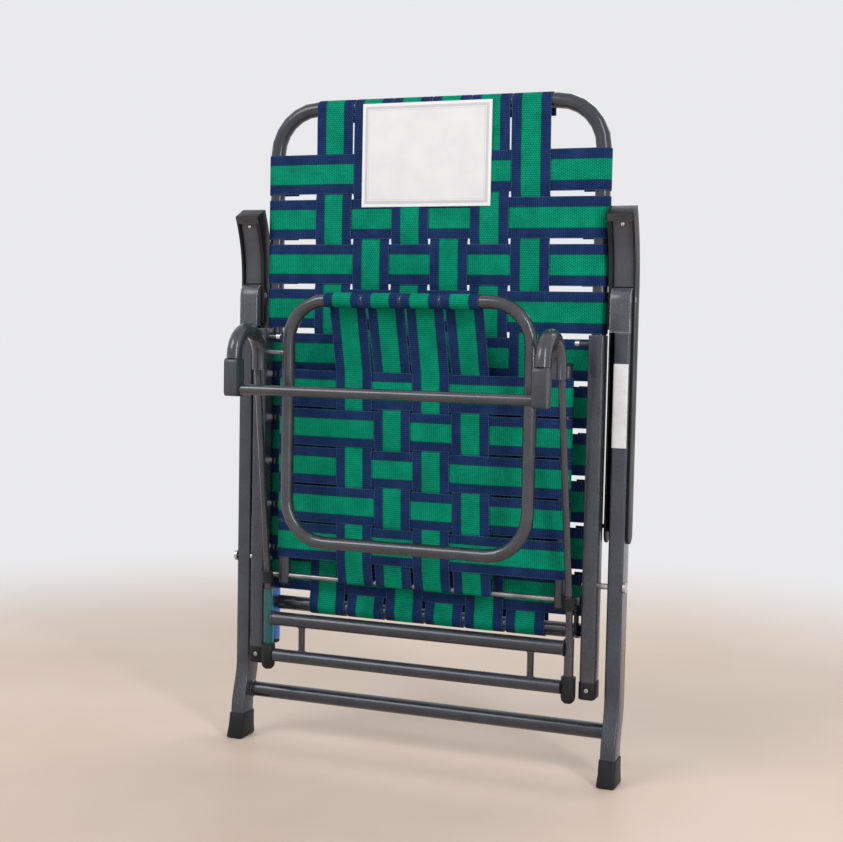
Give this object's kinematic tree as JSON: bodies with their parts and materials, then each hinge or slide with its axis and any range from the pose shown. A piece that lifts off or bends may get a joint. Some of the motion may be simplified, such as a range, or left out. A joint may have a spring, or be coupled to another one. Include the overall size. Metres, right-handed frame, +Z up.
{
  "type": "folding webbed lawn chair",
  "caption": "Folding lawn chair with a dark steel tube frame and woven green and navy webbing, folded flat and standing on two rubber feet.",
  "frame": {"origin": "middle of the footprint box, on the floor that the folded chair stands on", "axes": "+Z up; +Y towards the back panel, so -Y is the side with the ring and the thin cross bar; +X across the chair"},
  "size_m": [0.6164, 0.208, 0.9754],
  "materials": {
    "frame_steel": "semi-gloss gunmetal grey coating on bent steel tube",
    "plated_steel": "bright zinc plated pins, rod and bolts",
    "dark_plastic": "moulded dark grey plastic with a fine grain",
    "rubber": "matt black rubber",
    "webbing": "woven plastic webbing, green middle between navy edges",
    "paper": "smooth white card"
  },
  "bodies": {
    "rear_legs": {"rear_leg_L": "frame_steel", "rear_leg_R": "frame_steel", "foot_L": "rubber", "foot_R": "rubber", "leg_rail": "frame_steel", "arm_block_L": "dark_plastic", "arm_block_R": "dark_plastic", "scissor_bolt_L": "plated_steel", "scissor_bolt_R": "plated_steel"},
    "link_left": {"link_leg_L": "frame_steel", "link_cap_L": "dark_plastic"},
    "link_right": {"link_leg_R": "frame_steel", "link_cap_R": "dark_plastic"},
    "arm_left": {"armrest_L": "dark_plastic"},
    "arm_right": {"armrest_R": "dark_plastic"},
    "back": {"back_tube": "frame_steel", "hip_bar": "frame_steel", "hip_bracket_L": "frame_steel", "hip_bracket_R": "frame_steel", "back_row_1": "webbing", "back_row_2": "webbing", "back_row_3": "webbing", "back_row_4": "webbing", "back_row_5": "webbing", "back_row_6": "webbing", "back_row_7": "webbing", "back_row_8": "webbing", "back_row_9": "webbing", "back_row_10": "webbing", "back_col_1": "webbing", "back_col_2": "webbing", "back_col_3": "webbing", "back_col_4": "webbing", "back_col_5": "webbing", "back_col_6": "webbing", "tag_card": "paper"},
    "seat": {"seat_tube_L": "frame_steel", "seat_tube_R": "frame_steel", "hip_rod": "plated_steel", "seat_row_1": "webbing", "seat_row_2": "webbing", "seat_row_3": "webbing", "seat_row_4": "webbing", "seat_row_5": "webbing", "seat_col_1": "webbing", "seat_col_2": "webbing", "seat_col_3": "webbing", "seat_col_4": "webbing"},
    "ring": {"legrest_loop": "frame_steel", "knee_pin_L": "plated_steel", "knee_pin_R": "plated_steel"},
    "front_legs": {"front_leg_L": "frame_steel", "front_leg_R": "frame_steel", "front_rails": "frame_steel", "cross_bar": "frame_steel", "corner_block_L": "dark_plastic", "corner_block_R": "dark_plastic", "bullet_cap_L": "dark_plastic", "bullet_cap_R": "dark_plastic"}
  },
  "joints": [
    {"name": "arm_left_fold", "type": "hinge", "parent": "rear_legs", "child": "arm_left", "pos_m": [0, 0.083, 0.682], "axis": [1, 0, 0], "range_deg": [0, 50]},
    {"name": "arm_right_fold", "type": "hinge", "parent": "rear_legs", "child": "arm_right", "pos_m": [0, 0.083, 0.682], "axis": [1, 0, 0], "range_deg": [0, 50]},
    {"name": "link_left_swing", "type": "hinge", "parent": "rear_legs", "child": "link_left", "pos_m": [0, 0.071, 0.28], "axis": [1, 0, 0], "range_deg": [0, 26]},
    {"name": "link_right_swing", "type": "hinge", "parent": "rear_legs", "child": "link_right", "pos_m": [0, 0.071, 0.28], "axis": [1, 0, 0], "range_deg": [0, 26]},
    {"name": "back_recline", "type": "hinge", "parent": "arm_left", "child": "back", "pos_m": [0, 0.091, 0.3625], "axis": [1, 0, 0], "range_deg": [-94, 0]},
    {"name": "seat_fold", "type": "hinge", "parent": "back", "child": "seat", "pos_m": [0, 0.058, 0.258], "axis": [1, 0, 0], "range_deg": [0, 110]},
    {"name": "ring_swing", "type": "hinge", "parent": "seat", "child": "ring", "pos_m": [0, -0.004, 0.675], "axis": [1, 0, 0], "range_deg": [-75, 0]},
    {"name": "front_leg_swing", "type": "hinge", "parent": "ring", "child": "front_legs", "pos_m": [0, -0.009, 0.598], "axis": [1, 0, 0], "range_deg": [-55, 0]}
  ],
  "couplings": [
    {"joint": "arm_right_fold", "follows": "arm_left_fold", "ratio": 1},
    {"joint": "link_left_swing", "follows": "arm_left_fold", "ratio": 0.52},
    {"joint": "link_right_swing", "follows": "arm_left_fold", "ratio": 0.52},
    {"joint": "back_recline", "follows": "arm_left_fold", "ratio": -1.88},
    {"joint": "seat_fold", "follows": "arm_left_fold", "ratio": 2.2},
    {"joint": "ring_swing", "follows": "arm_left_fold", "ratio": -1.5},
    {"joint": "front_leg_swing", "follows": "arm_left_fold", "ratio": -1.1}
  ]
}
